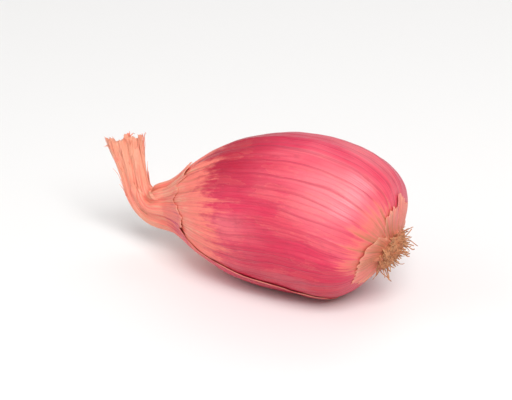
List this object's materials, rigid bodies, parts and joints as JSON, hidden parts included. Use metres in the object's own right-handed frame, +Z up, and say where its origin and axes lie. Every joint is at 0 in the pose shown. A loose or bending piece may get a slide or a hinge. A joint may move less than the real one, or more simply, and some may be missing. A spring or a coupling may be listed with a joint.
{
  "type": "pink shallot",
  "caption": "Plump pink shallot lying on its belly, with dry papery skin, a pinched neck, a flat dried tail folded up and short dry rootlets.",
  "frame": {"origin": "centre of the small flat under the belly, on the surface that the shallot rests on", "axes": "+X towards the root end, so the neck is at -X; +Z up, the way the dried tail is folded; -Y the side that the picture shows"},
  "size_m": [0.0603, 0.0255, 0.0285],
  "materials": {
    "pink_skin": "satin",
    "dry_skin": "satin",
    "dry_root": "matte"
  },
  "bodies": {
    "root": {"shallot": "pink_skin"}
  },
  "joints": []
}
